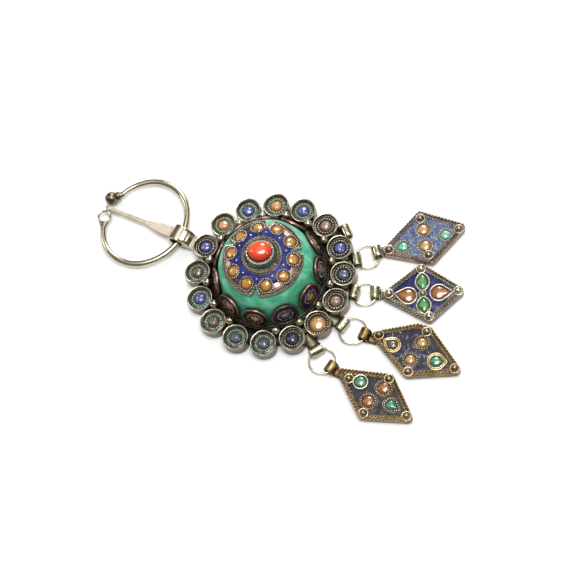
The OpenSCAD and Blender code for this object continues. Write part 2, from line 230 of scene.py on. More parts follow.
def rounded(corners, r, per_corner=6):
    """An anticlockwise outline round the corner centres at distance r."""
    out = []
    n = len(corners)
    for k in range(n):
        here = np.array(corners[k], float)
        back = here - np.array(corners[k - 1], float)
        ahead = np.array(corners[(k + 1) % n], float) - here
        a0 = math.atan2(back[1], back[0]) - math.pi / 2
        a1 = math.atan2(ahead[1], ahead[0]) - math.pi / 2
        while a1 < a0:
            a1 += TAU
        for t in np.linspace(a0, a1, per_corner):
            out.append(here + r * np.array([math.cos(t), math.sin(t)]))
    return np.array(out)


def drop(r, tail, sides=40):
    """A circle of radius r that runs out to a point at distance tail along X."""
    if tail <= r:
        return circle(r, sides)
    touch = math.acos(r / tail)
    arc = np.linspace(touch, TAU - touch, sides - 8)
    round_part = np.stack([r * np.cos(arc), r * np.sin(arc)], 1)
    tip = np.array([[tail - 0.25, 0.0]])
    lower = round_part[-1] + (tip - round_part[-1]) * np.linspace(0.25, 1, 4)[:, None]
    upper = tip + (round_part[0] - tip) * np.linspace(0.25, 0.75, 4)[:, None]
    return np.vstack([round_part, lower, upper])


def leaf(length, width, sides=32):
    """A pointed leaf along X, from the origin to length."""
    s = np.linspace(0, 1, sides // 2 + 1)
    half = width / 2 * np.sin(np.pi * s) ** 0.8
    top = np.stack([length * s, half], 1)
    return np.vstack([top[::-1], np.stack([length * s, -half], 1)[1:-1]])


def grown(outline, by):
    """The outline with each point further from the middle by a distance."""
    middle = outline.mean(0)
    return middle + (outline - middle) * (1 + by / np.linalg.norm(outline - middle, axis=1))[:, None]


def turned(outline, angle, at=(0, 0)):
    c, s = math.cos(math.radians(angle)), math.sin(math.radians(angle))
    return np.asarray(outline) @ np.array([[c, s], [-s, c]]) + np.array(at, float)


# Parts: each is (points, faces, tones), where a tone is a number that materials read

def loft(loops, closed=False, start=None, end=None):
    """Skins loops of equally many points. The ends get fans, or closed joins the last loop to the first."""
    loops = np.asarray(loops, float)
    rows, cols = loops.shape[:2]
    points = loops.reshape(-1, 3)
    faces = []
    for k in range(rows if closed else rows - 1):
        a, b = k * cols, (k + 1) % rows * cols
        faces += [(a + c, a + (c + 1) % cols, b + (c + 1) % cols, b + c) for c in range(cols)]
    if not closed:
        n = len(points)
        first = loops[0].mean(0) if start is None else np.array(start, float)
        last = loops[-1].mean(0) if end is None else np.array(end, float)
        points = np.vstack([points, first, last])
        base = (rows - 1) * cols
        faces += [(n, (c + 1) % cols, c) for c in range(cols)]
        faces += [(n + 1, base + c, base + (c + 1) % cols) for c in range(cols)]
    return points, faces, np.zeros(len(points))


def lathe(profile, steps=48, closed=False):
    """Turns (radius, height) rows about Z. A first or last row at radius 0 is a pole."""
    rows = [p for p in profile if p[0] > 1e-9]
    loops = [hoop(r, steps, z) for r, z in rows]
    start = (0, 0, profile[0][1]) if profile[0][0] <= 1e-9 else None
    end = (0, 0, profile[-1][1]) if profile[-1][0] <= 1e-9 else None
    return loft(loops, closed, start, end)


def sweep(path, outline, closed=False):
    """Carries one outline, or one for each point, of (side, up) points along a path."""
    path = np.asarray(path, float)
    ahead = np.roll(path, -1, 0) - np.roll(path, 1, 0) if closed else np.gradient(path, axis=0)
    ahead /= np.linalg.norm(ahead, axis=1)[:, None]
    side = np.cross(ahead, np.array([0.0, 0.0, 1.0]))
    side /= np.linalg.norm(side, axis=1)[:, None]
    top = np.cross(side, ahead)
    outline = np.asarray(outline, float)
    if outline.ndim == 2:
        outline = np.repeat(outline[None], len(path), 0)
    loops = path[:, None] + outline[:, :, :1] * side[:, None] + outline[:, :, 1:] * top[:, None]
    return loft(loops, closed)


def rope(path, r, pitch, hand=1, lobe=0.34):
    """Two wires twisted round each other along a closed path: one sweep, with tone 1 in its creases."""
    sides, per_half = 8, 5
    count = max(4, round(2 * length_round(path) / pitch)) * per_half
    path = resample(path, count, True)
    twist = hand * np.arange(count) * math.pi / per_half
    t = np.arange(sides) * TAU / sides
    rho = r * (1 - lobe + lobe * np.cos(2 * t))
    angle = t[None] + twist[:, None]
    outline = np.stack([rho * np.cos(angle), rho * np.sin(angle)], 2)
    points, faces, tones = sweep(path, outline, True)
    tones[:count * sides] = np.tile((1 - np.cos(2 * t)) / 2, count)
    return points, faces, tones


def wire(path, r, sides=8):
    return sweep(path, circle(r, sides), True)


def ball_points(level):
    made = bmesh.new()
    bmesh.ops.create_icosphere(made, subdivisions=level, radius=1.0)
    points = np.array([v.co for v in made.verts])
    faces = [tuple(v.index for v in f.verts) for f in made.faces]
    made.free()
    return points, faces


BALLS = {level: ball_points(level) for level in (1, 2, 3)}


def ball(at, r, level):
    points, faces = BALLS[level]
    return points * r + np.array(at, float), faces, np.zeros(len(points))


def gather(parts):
    """Several parts as one."""
    points, faces, tones, n = [], [], [], 0
    for p, f, t in parts:
        points.append(p)
        faces += [tuple(k + n for k in face) for face in f]
        tones.append(t)
        n += len(p)
    return np.vstack(points), faces, np.concatenate(tones)


def beads(path, r, spacing):
    count = max(3, round(length_round(path) / spacing))
    return gather([ball(at, r, 1) for at in resample(path, count, True)])


def gem(outline, h, rows=9, foot=0.25, power=1.0):
    """A domed stone over an outline. Its tone runs from 0 at the crown to 1 at the edge."""
    outline = np.asarray(outline, float)
    mid = outline.mean(0)
    loops = [with_z(outline, -foot)]
    tones = [np.ones(len(outline))]
    for k in range(rows):
        phi = k / rows * math.pi / 2
        loops.append(with_z(mid + (outline - mid) * math.cos(phi) ** power, h * math.sin(phi)))
        tones.append(np.full(len(outline), math.cos(phi)))
    points, faces, _ = loft(loops, start=(*mid, -foot), end=(*mid, h))
    return points, faces, np.concatenate(tones + [[1.0, 0.0]])


def rough(part, amount, size, seed, z_only=False):
    """Moves points by smooth noise of a size in mm."""
    points, faces, tones = part
    shift = Vector((seed * 17.3, seed * 5.1, seed * 9.7))
    out = np.array(points, float)
    for k, p in enumerate(out):
        v = noise.noise_vector(Vector(p) / size + shift)
        if z_only:
            out[k, 2] += amount * v[2]
        else:
            out[k] += amount * np.array(v)
    return out, faces, tones


def placed(part, matrix):
    return moved(part[0], matrix), part[1], part[2]


def show(obj):
    bpy.context.scene.collection.objects.link(obj)


class Shape:
    """Parts in millimetres, each with a material, until they become one object."""

    def __init__(self, *materials):
        self.materials = materials
        self.points, self.faces, self.slots, self.tones, self.flats = [], [], [], [], []
        self.count = 0

    def add(self, part, slot=0, matrix=None, flat=False):
        points, faces, tones = part
        if matrix is not None:
            points = moved(points, matrix)
        self.points.append(points)
        self.faces += [tuple(k + self.count for k in face) for face in faces]
        self.slots += slot if isinstance(slot, list) else [slot] * len(faces)
        self.flats += [flat] * len(faces)
        self.tones.append(tones)
        self.count += len(points)

    def build(self, name, body=PLAQUE, slot="silver", replaces=()):
        mesh = bpy.data.meshes.new(name)
        mesh.from_pydata(np.vstack(self.points) * MM, [], self.faces)
        for m in self.materials:
            mesh.materials.append(m)
        mesh.polygons.foreach_set("material_index", self.slots)
        tone = mesh.attributes.new("tone", "FLOAT", "POINT")
        tone.data.foreach_set("value", np.concatenate(self.tones).astype(np.float32))
        work = bmesh.new()
        work.from_mesh(mesh)
        bmesh.ops.recalc_face_normals(work, faces=work.faces)
        work.to_mesh(mesh)
        work.free()
        mesh.polygons.foreach_set("use_smooth", [not f for f in self.flats])
        mesh.set_sharp_from_angle(angle=math.radians(SHARP_EDGE))
        obj = bpy.data.objects.new(name, mesh)
        show(obj)
        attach(obj, body)
        if replaces:
            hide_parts(*replaces)


# Materials

class Look:
    """A material and short ways to add nodes to it. Texture space is the object's, in millimetres."""

    def __init__(self, name):
        self.material = bpy.data.materials.new(name)
        self.material.use_nodes = True
        self.tree = self.material.node_tree
        self.shader = self.tree.nodes["Principled BSDF"]
        where = self.tree.nodes.new("ShaderNodeTexCoord")
        scale = self.tree.nodes.new("ShaderNodeVectorMath")
        scale.operation = "SCALE"
        scale.inputs["Scale"].default_value = 1 / MM
        self.tree.links.new(where.outputs["Object"], scale.inputs[0])
        self.mm = scale.outputs[0]

    def link(self, source, target):
        self.tree.links.new(source, target)

    def noise(self, size, detail=3.0, rough=0.55, distort=0.0):
        node = self.tree.nodes.new("ShaderNodeTexNoise")
        node.inputs["Scale"].default_value = 1 / size
        node.inputs["Detail"].default_value = detail
        node.inputs["Roughness"].default_value = rough
        node.inputs["Distortion"].default_value = distort
        self.link(self.mm, node.inputs["Vector"])
        return node.outputs["Fac"]

    def tone(self):
        node = self.tree.nodes.new("ShaderNodeAttribute")
        node.attribute_name = "tone"
        return node.outputs["Fac"]

    def hollows(self, reach):
        """1 in the open and towards 0 in corners nearer than reach."""
        node = self.tree.nodes.new("ShaderNodeAmbientOcclusion")
        node.samples = 6
        node.inputs["Distance"].default_value = reach * MM
        return node.outputs["AO"]

    def ramp(self, fac, *stops):
        node = self.tree.nodes.new("ShaderNodeValToRGB")
        ends = node.color_ramp.elements
        while len(ends) < len(stops):
            ends.new(0.5)
        for end, (at, colour) in zip(ends, stops):
            end.position = at
            end.color = (*colour, 1.0) if not isinstance(colour, float) else (colour, colour, colour, 1.0)
        self.link(fac, node.inputs["Fac"])
        return node.outputs["Color"]

    def rise(self, fac, low, high):
        """0 below low and 1 above high."""
        return self.ramp(fac, (low, 0.0), (high, 1.0))

    def mix(self, fac, a, b):
        node = self.tree.nodes.new("ShaderNodeMix")
        node.data_type = "RGBA"
        for value, socket in ((fac, node.inputs["Factor"]), (a, node.inputs[6]), (b, node.inputs[7])):
            if isinstance(value, bpy.types.NodeSocket):
                self.link(value, socket)
            elif isinstance(value, (int, float)):
                socket.default_value = value
            else:
                socket.default_value = (*value, 1.0)
        return node.outputs[2]

    def bump(self, height, strength, depth):
        node = self.tree.nodes.new("ShaderNodeBump")
        node.inputs["Strength"].default_value = strength
        node.inputs["Distance"].default_value = depth * MM
        self.link(height, node.inputs["Height"])
        self.link(node.outputs["Normal"], self.shader.inputs["Normal"])

    def put(self, **values):
        for name, value in values.items():
            socket = self.shader.inputs[name.replace("_", " ")]
            if isinstance(value, bpy.types.NodeSocket):
                self.link(value, socket)
            elif isinstance(value, tuple):
                socket.default_value = (*value, 1.0)
            else:
                socket.default_value = value
        return self.material


def metal(name, light, warm, dark, reach=1.0, gloss=0.3, soot=0.5, bump=0.3, spread=0.22):
    """Old silver: bright where it is handled, brown in patches and black in its hollows."""
    look = Look(name)
    patches = look.rise(look.noise(5.0, 4.0, 0.6), 0.35, 0.7)
    skin = look.mix(patches, light, warm)
    grime = look.rise(look.noise(1.1, 5.0, 0.65, 0.4), 0.38, 0.72)
    skin = look.mix(look.mix(grime, (0.0,) * 3, (soot,) * 3), skin, dark)
    open_air = look.rise(look.hollows(reach), 0.4, 0.92)
    skin = look.mix(open_air, dark, skin)
    skin = look.mix(look.rise(look.tone(), 0.45, 0.9), skin, dark)
    rough_map = look.ramp(look.noise(0.6, 4.0, 0.6), (0.3, gloss), (0.75, gloss + spread))
    look.bump(look.noise(0.45, 5.0, 0.6), bump, 0.05)
    metallic = look.ramp(open_air, (0.0, 0.55), (1.0, 1.0))
    return look.put(Base_Color=skin, Metallic=metallic, Roughness=rough_map)


def enamel(name, main, light, deep, chip_and_edge_colour=(0.03, 0.022, 0.015), size=3.0, chips=0.0, gloss=0.14, shine=0.5):
    """Vitreous enamel, uneven in colour, with fine pits and the edge colour where it meets the metal."""
    look = Look(name)
    cloud = look.noise(size, 4.0, 0.6, 0.6)
    colour = look.ramp(cloud, (0.3, deep), (0.5, main), (0.72, light))
    pits = look.rise(look.noise(0.5, 3.0, 0.7), 0.28, 0.4)
    colour = look.mix(pits, deep, colour)
    if chips:
        worn = look.ramp(look.noise(size * 0.55, 5.0, 0.7), (1 - chips - 0.06, 0.0), (1 - chips, 1.0))
        colour = look.mix(worn, colour, chip_and_edge_colour)
    # Near walls and wires the hollows node mixes in the chip and edge colour
    edge = look.rise(look.hollows(0.7), 0.3, 0.75)
    colour = look.mix(edge, chip_and_edge_colour, colour)
    look.bump(look.noise(0.8, 4.0, 0.6), 0.3, 0.08)
    rough_map = look.ramp(look.noise(0.9, 3.0, 0.6), (0.35, gloss), (0.8, gloss + 0.25))
    look.put(Specular_IOR_Level=shine, Coat_Weight=0.2 * shine, Coat_Roughness=0.1)
    return look.put(Base_Color=colour, Roughness=rough_map)


def glass(name, core, rim, spot, gloss=0.07, cloudy=0.5):
    """A domed glass or enamel drop with clouds inside and painted shade in the rim colour round its edge; the rim
    colour also makes dark specks.
    """
    look = Look(name)
    cloud = look.rise(look.noise(0.9, 4.0, 0.65, 0.5), 0.38, 0.7)
    colour = look.mix(look.mix(cloud, (0.0,) * 3, (cloudy,) * 3), core, spot)
    # Painted shade: the colour turns to the rim colour towards the edge, where the gem's tone is high
    colour = look.mix(look.rise(look.tone(), 0.45, 1.0), colour, rim)
    colour = look.mix(look.rise(look.noise(0.6, 4.0, 0.7, 0.3), 0.34, 0.42), rim, colour)
    look.bump(look.noise(0.7, 3.0, 0.6), 0.25, 0.08)
    rough_map = look.ramp(look.noise(0.7, 3.0, 0.5), (0.4, gloss), (0.8, gloss + 0.2))
    return look.put(Base_Color=colour, Roughness=rough_map, Coat_Weight=0.8, Coat_Roughness=0.05)


SILVER = metal(
    "old_silver", (0.34, 0.3, 0.21), (0.17, 0.13, 0.075), (0.01, 0.008, 0.005), reach=0.65, gloss=0.24, soot=0.7
)
BRIGHT = metal(
    "handled_silver", (0.62, 0.56, 0.42), (0.36, 0.3, 0.19), (0.016, 0.012, 0.008), 0.7, 0.16, 0.35, 0.15
)
POLISHED = metal(
    "polished_silver", (0.58, 0.54, 0.4), (0.46, 0.41, 0.27), (0.04, 0.03, 0.018), 0.6, 0.17, 0.05, 0.04, 0.05
)
SATIN = metal(
    "satin_silver", (0.68, 0.63, 0.5), (0.52, 0.46, 0.32), (0.03, 0.022, 0.014), 0.5, 0.36, 0.12, 0.1, 0.1
)
BRUSHED = metal(
    "brushed_silver", (0.64, 0.57, 0.48), (0.52, 0.43, 0.35), (0.05, 0.035, 0.025), 0.5, 0.42, 0.12, 0.25
)
WIRE = metal("silver_wire", (0.9, 0.83, 0.66), (0.6, 0.51, 0.36), (0.01, 0.008, 0.005), 0.2, 0.2, 0.3, 0.1)
PINK_WIRE = metal("pink_wire", (0.88, 0.74, 0.64), (0.56, 0.43, 0.34), (0.01, 0.007, 0.005), 0.2, 0.2, 0.32, 0.1)
BRONZE_WIRE = metal(
    "bronze_wire", (0.95, 0.74, 0.44), (0.62, 0.43, 0.2), (0.008, 0.005, 0.003), 0.18, 0.2, 0.3, 0.1
)
# Near-black silver: painted shade on the plaque's plate, gallery, low ropes and granule posts, which lie under and
# between the cups and skirt discs; also the cells under the cap's dots and the skirt discs' outer ropes
BLACK_SILVER_AND_SHADE = metal("black_silver", (0.07, 0.062, 0.048), (0.04, 0.033, 0.024), (0.004, 0.003, 0.002), soot=0.8)
PINK_SILVER = metal("pink_silver", (0.42, 0.31, 0.25), (0.2, 0.125, 0.09), (0.014, 0.009, 0.006), gloss=0.22)
COPPER = metal("copper_rim", (0.4, 0.24, 0.19), (0.18, 0.09, 0.065), (0.01, 0.006, 0.004), 0.5, soot=0.6)
BRONZE = metal("gold_bronze", (0.36, 0.25, 0.11), (0.15, 0.09, 0.035), (0.012, 0.008, 0.004), gloss=0.24, soot=0.6)
GREEN = enamel(
    "green_enamel", (0.055, 0.35, 0.2), (0.2, 0.55, 0.39), (0.025, 0.22, 0.11), size=6.0, chips=0.16, gloss=0.26
)
BLUE = enamel(
    "blue_enamel", (0.01, 0.02, 0.21), (0.04, 0.07, 0.34), (0.006, 0.01, 0.05), size=1.5, chips=0.44, gloss=0.28,
    shine=0.12
)
SPECKLED = enamel(
    "speckled_enamel", (0.04, 0.055, 0.26), (0.4, 0.5, 0.46), (0.012, 0.014, 0.05), (0.13, 0.16, 0.145), size=1.0,
    chips=0.445, gloss=0.3, shine=0.2
)
PATCHY = enamel(
    "patchy_enamel", (0.012, 0.02, 0.1), (0.34, 0.38, 0.42), (0.004, 0.004, 0.006), size=1.8, chips=0.5, gloss=0.3,
    shine=0.15
)
WORN = enamel(
    "worn_enamel", (0.016, 0.02, 0.07), (0.14, 0.15, 0.13), (0.005, 0.004, 0.003), size=1.4, chips=0.5, gloss=0.3,
    shine=0.15
)
DEEP_GREEN = enamel("deep_green_enamel", (0.012, 0.03, 0.018), (0.03, 0.07, 0.045), (0.004, 0.008, 0.005), size=1.5)
NIGHT = enamel(
    "dark_blue_enamel", (0.012, 0.016, 0.085), (0.03, 0.035, 0.16), (0.005, 0.005, 0.012), size=1.4, shine=0.25
)
TEAL = enamel(
    "teal_enamel", (0.045, 0.19, 0.11), (0.24, 0.48, 0.36), (0.01, 0.02, 0.013), (0.07, 0.06, 0.04), size=1.6,
    chips=0.48
)
SOOT = enamel(
    "dark_enamel", (0.012, 0.011, 0.009), (0.04, 0.04, 0.03), (0.004, 0.004, 0.003), size=1.0, gloss=0.3, shine=0.25
)
AMBER = glass("amber_enamel", (0.42, 0.19, 0.025), (0.1, 0.04, 0.008), (0.55, 0.3, 0.06))
DIM_AMBER = glass("dim_amber", (0.26, 0.1, 0.015), (0.05, 0.02, 0.006), (0.4, 0.2, 0.04))
BLUE_GLASS = glass("blue_glass", (0.018, 0.03, 0.22), (0.006, 0.008, 0.05), (0.3, 0.33, 0.58), cloudy=0.65)
SLATE_GLASS = glass("slate_glass", (0.06, 0.075, 0.11), (0.012, 0.014, 0.02), (0.22, 0.26, 0.32))
INK_GLASS = glass("ink_glass", (0.018, 0.022, 0.04), (0.006, 0.006, 0.01), (0.08, 0.09, 0.15))
ORANGE_GLASS = glass("orange_glass", (0.48, 0.23, 0.07), (0.14, 0.06, 0.02), (0.7, 0.48, 0.28))
ROSE_GLASS = glass("rose_glass", (0.24, 0.14, 0.09), (0.06, 0.035, 0.025), (0.5, 0.4, 0.32))
OLIVE_GLASS = glass("olive_glass", (0.09, 0.075, 0.045), (0.02, 0.018, 0.01), (0.3, 0.22, 0.12))
GREEN_GLASS = glass("green_glass", (0.022, 0.18, 0.08), (0.006, 0.05, 0.022), (0.22, 0.5, 0.34))
MINT_GLASS = glass("mint_glass", (0.1, 0.36, 0.25), (0.02, 0.1, 0.07), (0.45, 0.68, 0.55))
HONEY_GLASS = glass("honey_glass", (0.4, 0.21, 0.06), (0.11, 0.05, 0.015), (0.6, 0.4, 0.18), cloudy=0.7)
LEAF_GLASS = glass("leaf_glass", (0.03, 0.2, 0.035), (0.006, 0.03, 0.008), (0.2, 0.5, 0.2))
BROWN_GLASS = glass("brown_glass", (0.27, 0.1, 0.025), (0.1, 0.035, 0.01), (0.5, 0.22, 0.07), cloudy=0.3)
CORAL = glass("coral", (0.75, 0.07, 0.016), (0.5, 0.025, 0.007), (0.85, 0.14, 0.04), cloudy=0.3)


# Cups and their stones, a to p clockwise from the barrel: glass and the enamel in the groove
CUP_LOOKS = [
    (BLUE_GLASS, SOOT),
    (ORANGE_GLASS, TEAL),
    (BLUE_GLASS, TEAL),
    (ORANGE_GLASS, TEAL),
    (BLUE_GLASS, TEAL),
    (ROSE_GLASS, SOOT),
    (BLUE_GLASS, SOOT),
    (SLATE_GLASS, SOOT),
    (ROSE_GLASS, SOOT),
    (ORANGE_GLASS, SOOT),
    (INK_GLASS, SOOT),
    (SLATE_GLASS, TEAL),
    (SLATE_GLASS, TEAL),
    (OLIVE_GLASS, TEAL),
    (BLUE_GLASS, TEAL),
    (OLIVE_GLASS, TEAL),
]


def cup_wall():
    wall_r = CUP_R - CUP_WALL
    outside = [(0, 0), (CUP_R - 0.25, 0), (CUP_R - 0.05, 0.25), (CUP_R - 0.08, CUP_H - 0.9), (CUP_R, CUP_H - 0.45)]
    lip = [(CUP_R - 0.05, CUP_H - 0.15), (CUP_R - 0.15, CUP_H), (wall_r + 0.05, CUP_H - 0.1)]
    inside = [(wall_r - 0.05, CUP_H - 0.45), (wall_r - 0.2, CUP_FLOOR + 0.3), (wall_r - 0.5, CUP_FLOOR)]
    return lathe(outside + lip + inside + [(0, CUP_FLOOR)], 56)


def cup_lining():
    """The thin coat of enamel left on a cup's inner wall."""
    wall_r = CUP_R - CUP_WALL
    coat = 0.14
    outside = [(0, CUP_FLOOR), (wall_r - 0.3, CUP_FLOOR), (wall_r - 0.02, CUP_H - 0.7)]
    inside = [(wall_r - coat - 0.02, CUP_H - 0.72), (wall_r - coat - 0.3, CUP_FLOOR + coat), (0, CUP_FLOOR + coat)]
    return lathe(outside + inside, 56)


def make_cups():
    for i, (stone_look, groove_look) in enumerate(CUP_LOOKS):
        number = i + 1
        stone_r = BIG_STONE_R if number == BIG_CUP else STONE_R
        at = place((0, 0, 0), 180 - i * CUP_STEP) @ place((CUP_ORBIT, 0, 0))
        cup = Shape(SILVER, groove_look, WIRE)
        cup.add(rough(cup_wall(), 0.1, 2.5, number), 0, at)
        enamelled = groove_look is not SOOT
        if enamelled:
            cup.add(rough(cup_lining(), 0.12, 1.4, number + 300), 1, at)
        groove = gem(circle(CUP_R - CUP_WALL - 0.2, 40), 0.6 if enamelled else 0.2, 6, foot=0.1, power=0.35)
        cup.add(rough(groove, 0.22, 1.2, number + 30), 1, at @ place((0, 0, CUP_FLOOR + 0.5)))
        cup.add(rough(wire(hoop(CUP_R - 0.26, 60, CUP_H - 0.27), 0.25), 0.14, 2.5, number), 2, at)
        outer = hoop(3.82, 60, CUP_FLOOR + 1.1)
        inner = hoop(stone_r + 0.5, 60, CUP_FLOOR + 1.5)
        if number != BIG_CUP:
            cup.add(rope(outer, 0.24, 1.6, hand=1 - 2 * (i % 2)), 0 if enamelled else 2, at)
        cup.add(beads(inner, 0.35, 0.92), 2, at)
        cup.build(f"edge_cup_{number:02d}")
        stone = Shape(stone_look)
        dome = rough(gem(circle(stone_r, 40), STONE_H, 12), 0.16, 1.5, number + 60)
        stone.add(dome, 0, at @ place((0, 0, CUP_FLOOR + 0.5)))
        slot = "amber_glass" if number % 2 == 0 else "blue_glass"
        stone.build(f"cup_glass_{number:02d}", slot=slot, replaces=[f"cup_stone_{number}"])


def lying_tube(rows, steps, at):
    """Turns closed (radius, distance) rows about an axis along Y through at."""
    return placed(lathe(rows, steps, closed=True), Matrix.Translation(at) @ Matrix.Rotation(-math.pi / 2, 4, "X"))


def rolled_bail(length):
    """A strip rolled into a tube along Y, with a groove near each end."""
    half = length / 2
    rows = []
    for y in np.linspace(-half, half, 25):
        edge = half - abs(y)
        groove = 0.09 * math.exp(-(((edge - 0.75) / 0.16) ** 2))
        rows.append((BAIL_R - 0.02 - groove - 0.25 * math.exp(-edge / 0.08), y))
    rows += [(BAIL_BORE, half - 0.05), (BAIL_BORE, -half + 0.05)]
    return lying_tube(rows, 40, (0, 0, BAIL_R))


def strap(x0, x1, w0, w1, t):
    """A flat strap along X with eased edges."""
    xs = np.linspace(x0, x1, 6)
    ws = np.linspace(w0, w1, 6)
    loops = []
    for x, w in zip(xs, ws):
        loops.append([
            (x, -w / 2, 0.12), (x, -w / 2 + 0.12, 0), (x, w / 2 - 0.12, 0), (x, w / 2, 0.12),
            (x, w / 2, t - 0.15), (x, w / 2 - 0.15, t), (x, -w / 2 + 0.15, t), (x, -w / 2, t - 0.15),
        ])
    return loft(loops)


def make_plaque():
    body = Shape(SILVER, BLACK_SILVER_AND_SHADE, BRIGHT, POLISHED)
    # Slot 1 is near-black silver, painted shade: the plate, the gallery, both its ropes and the granules' posts
    plate = [(0, 0), (10, 0), (18, 0), (CUP_ORBIT - 0.2, 0), (CUP_ORBIT, 0.2), (CUP_ORBIT, 1.0)]
    plate += [(CUP_ORBIT - 0.2, PLATE_T), (23, PLATE_T), (GALLERY_OUT, PLATE_T + 0.2), (15, PLATE_T), (0, PLATE_T)]
    body.add(lathe(plate, 128), 1)
    gallery = [(GALLERY_IN, 0.6), (GALLERY_OUT, 0.6), (GALLERY_OUT, GALLERY_TOP - 0.2), (GALLERY_IN, GALLERY_TOP)]
    body.add(rough(lathe(gallery, 128, closed=True), 0.12, 3, 5), 1)
    body.add(rope(hoop(21.0, 160, GALLERY_TOP), 0.42, 2.4), 1)
    body.add(rope(hoop(22.3, 160, 1.7), 0.55, 3.0, hand=-1), 1)
    post = lathe([(0, 0.6), (0.8, 0.6), (0.8, 3), (1.0, GRANULE_Z - 1), (0, GRANULE_Z - 0.9)], 16)
    for i in range(CUPS):
        if i == MISSING_GRANULE:
            continue
        x, y = polar(180 - (i + 0.5) * CUP_STEP, GRANULE_ORBIT)
        body.add(post, 1, place((x, y, 0)))
        body.add(rough(ball((x, y, GRANULE_Z + 0.1), GRANULE_R, 3), 0.05, 1.5, i), 2)
    for angle, distance, turn in BAILS:
        x, y = polar(angle, distance)
        at = place((x, y, 0), angle + turn)
        body.add(rough(rolled_bail(PLAQUE_BAIL_LEN), 0.05, 2.0, angle), 3, at)
        tongue = strap(CUP_ORBIT - 1 - distance, -BAIL_BORE, PLAQUE_BAIL_LEN - 0.3, PLAQUE_BAIL_LEN - 0.6, PLATE_T)
        body.add(tongue, 0, at)
    body.build("plaque_body", replaces=["plaque"])


def skirt_place(k):
    return place((0, 0, 0), SKIRT_PHASE + k * 360 / SKIRT) @ place((SKIRT_ORBIT, 0, SKIRT_Z), 0, SKIRT_LEAN, 90)


def make_skirt():
    rims, fields, drops = Shape(COPPER, BRIGHT, BLACK_SILVER_AND_SHADE), Shape(NIGHT, SOOT), Shape(DIM_AMBER, OLIVE_GLASS)
    back = [(0, -SKIRT_T), (SKIRT_R - 0.3, -SKIRT_T), (SKIRT_R, -SKIRT_T + 0.25), (SKIRT_R, -0.3)]
    front = [(SKIRT_R - 0.1, -0.05), (SKIRT_R - 0.35, 0), (SKIRT_R - 0.6, -0.1), (SKIRT_R - 0.75, -0.45)]
    rim = lathe([*back, *front, (0, -0.5)], 64)
    for k in range(SKIRT):
        at = skirt_place(k)
        rims.add(rough(rim, 0.08, 2.5, k + 100), 0, at)
        field = gem(circle(SKIRT_R - 0.75, 48), 0.22, 6, foot=0.05)
        fields.add(rough(field, 0.08, 1.4, k + 120), 1 if k in DARK_DISCS else 0, at @ place((0, 0, -0.45)))
        rims.add(beads(hoop(2.65, 48, -0.05), 0.27, 0.78), 1, at)
        rims.add(rope(hoop(3.9, 64, -0.2), 0.2, 1.3), 2, at)
        centre = rough(gem(circle(1.95, 32), 0.8, 9), 0.06, 1.2, k + 140)
        drops.add(centre, 0 if k % 3 else 1, at @ place((0, 0, -0.3)))
    rims.build("skirt_rims")
    fields.build("skirt_fields", slot="dark_blue_enamel", replaces=["skirt_enamel"])
    drops.build("skirt_ambers", slot="amber_enamel", replaces=["skirt_stones"])


DOME_CURVE = spline(DOME_ROWS, 8)


def dome_z(r):
    return np.interp(r, DOME_CURVE[::-1, 0], DOME_CURVE[::-1, 1])


def make_dome():
    base, top = DOME_ROWS[0][1], DOME_ROWS[-1][1]
    inner = [(r - DOME_WALL, max(z - DOME_WALL, base)) for r, z in DOME_CURVE[::4][::-1]]
    rows = [p for p in inner if p[0] > 0.5] + [tuple(p) for p in DOME_CURVE[:-1]] + [(0.6, top)]
    shell = loft([hoop(r, 144, z) for r, z in rows], start=(0, 0, top - DOME_WALL), end=(0, 0, top))
    dome = Shape(GREEN)
    dome.add(rough(rough(shell, 0.12, 7, 3), 0.04, 2, 4))
    dome.build("green_dome_enamel", slot="green_enamel", replaces=["green_dome"])


def cap_edge(t):
    """Radius of the cap's edge at an angle in degrees, drawn in at each notch."""
    r = CAP_R
    for a in NOTCHES:
        off = (t - a + 180) % 360 - 180
        r -= NOTCH_DEPTH * math.exp(-((abs(off) / 4.6) ** 3.2))
    return r


def dot_place(k):
    angle = DOT_PHASE + k * 360 / DOTS
    z = dome_z(DOT_ORBIT) + CAP_GAP + CAP_T
    (r_low, z_low), (r_high, z_high) = DOME_ROWS[5], DOME_ROWS[6]
    lean = math.degrees(math.atan2(z_high - z_low, r_low - r_high)) - DOT_TIP_IN
    return place((0, 0, 0), angle) @ place((DOT_ORBIT, 0, z), 0, lean)


